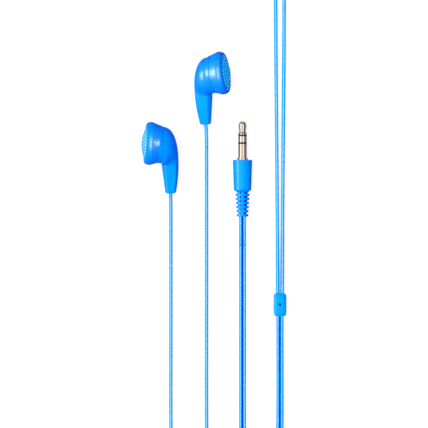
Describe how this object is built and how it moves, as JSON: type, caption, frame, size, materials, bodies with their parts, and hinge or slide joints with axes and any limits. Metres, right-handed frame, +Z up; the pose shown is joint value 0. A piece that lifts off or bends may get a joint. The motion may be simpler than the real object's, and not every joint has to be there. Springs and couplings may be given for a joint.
{
  "type": "wired earphones",
  "caption": "Wired ear-bud earphones: round perforated grilles on teardrop housings with stems, thin cords, a Y splitter, a twin cord in a tied hank and a three-pole audio plug.",
  "frame": {"origin": "on the table, under the centre of the box round the two ear-buds", "axes": "+Z up from the table; +Y along the ear-buds' stems, from the cord to the top of the ear-bud; +X to the right of the two ear-buds"},
  "size_m": [0.0664, 0.2823, 0.0171],
  "materials": {
    "housing_plastic": "glossy",
    "boot_plastic": "satin",
    "grille_mesh": "satin",
    "cord_pvc": "satin",
    "tie_plastic": "matte",
    "nickel": "polished",
    "insulator": "matte",
    "dust_cloth": "woven",
    "brass_ring": "plain",
    "diaphragm_film": "film",
    "copper_wire": "enamelled",
    "soft_iron": "zinc plated",
    "magnet_plating": "nickel plated",
    "driver_plastic": "moulded",
    "felt": "felt",
    "circuit_board": "solder mask"
  },
  "bodies": {
    "earphones": {"left_front_ring": "housing_plastic", "left_grille": "grille_mesh", "left_dust_cloth": "dust_cloth", "left_spacer_ring": "brass_ring", "left_surround": "diaphragm_film", "left_top_plate": "soft_iron", "left_magnet": "magnet_plating", "left_yoke": "soft_iron", "left_driver_frame": "driver_plastic", "left_vent_felt": "felt", "left_terminal_board": "circuit_board", "left_inner_leads": "copper_wire", "left_rear_housing": "housing_plastic", "left_stem_boot": "boot_plastic", "left_crimp_sleeve": "soft_iron", "right_front_ring": "housing_plastic", "right_grille": "grille_mesh", "right_dust_cloth": "dust_cloth", "right_spacer_ring": "brass_ring", "right_surround": "diaphragm_film", "right_top_plate": "soft_iron", "right_magnet": "magnet_plating", "right_yoke": "soft_iron", "right_driver_frame": "driver_plastic", "right_vent_felt": "felt", "right_terminal_board": "circuit_board", "right_inner_leads": "copper_wire", "right_rear_housing": "housing_plastic", "right_stem_boot": "boot_plastic", "right_crimp_sleeve": "soft_iron", "left_cord": "cord_pvc", "right_cord": "cord_pvc", "y_splitter": "housing_plastic", "trunk_lead": "cord_pvc", "trunk_hank": "cord_pvc", "plug_lead": "cord_pvc", "hank_tie": "tie_plastic", "plug_tip": "nickel", "tip_insulator": "insulator", "plug_ring": "nickel", "ring_insulator": "insulator", "plug_sleeve": "nickel", "plug_core": "driver_plastic", "plug_handle": "boot_plastic"},
    "left_diaphragm": {"left_dome": "diaphragm_film", "left_voice_coil": "copper_wire"},
    "right_diaphragm": {"right_dome": "diaphragm_film", "right_voice_coil": "copper_wire"}
  },
  "joints": [
    {"name": "left_diaphragm_travel", "type": "slide", "parent": "earphones", "child": "left_diaphragm", "axis": [-0.9926, 0.0678, 0.1006], "range_m": [-0.0002, 0.0002], "stiffness_N_per_m": 150, "deforming": ["left_surround"]},
    {"name": "right_diaphragm_travel", "type": "slide", "parent": "earphones", "child": "right_diaphragm", "axis": [0.9663, 0.1232, 0.2261], "range_m": [-0.0002, 0.0002], "stiffness_N_per_m": 150, "deforming": ["right_surround"]}
  ]
}
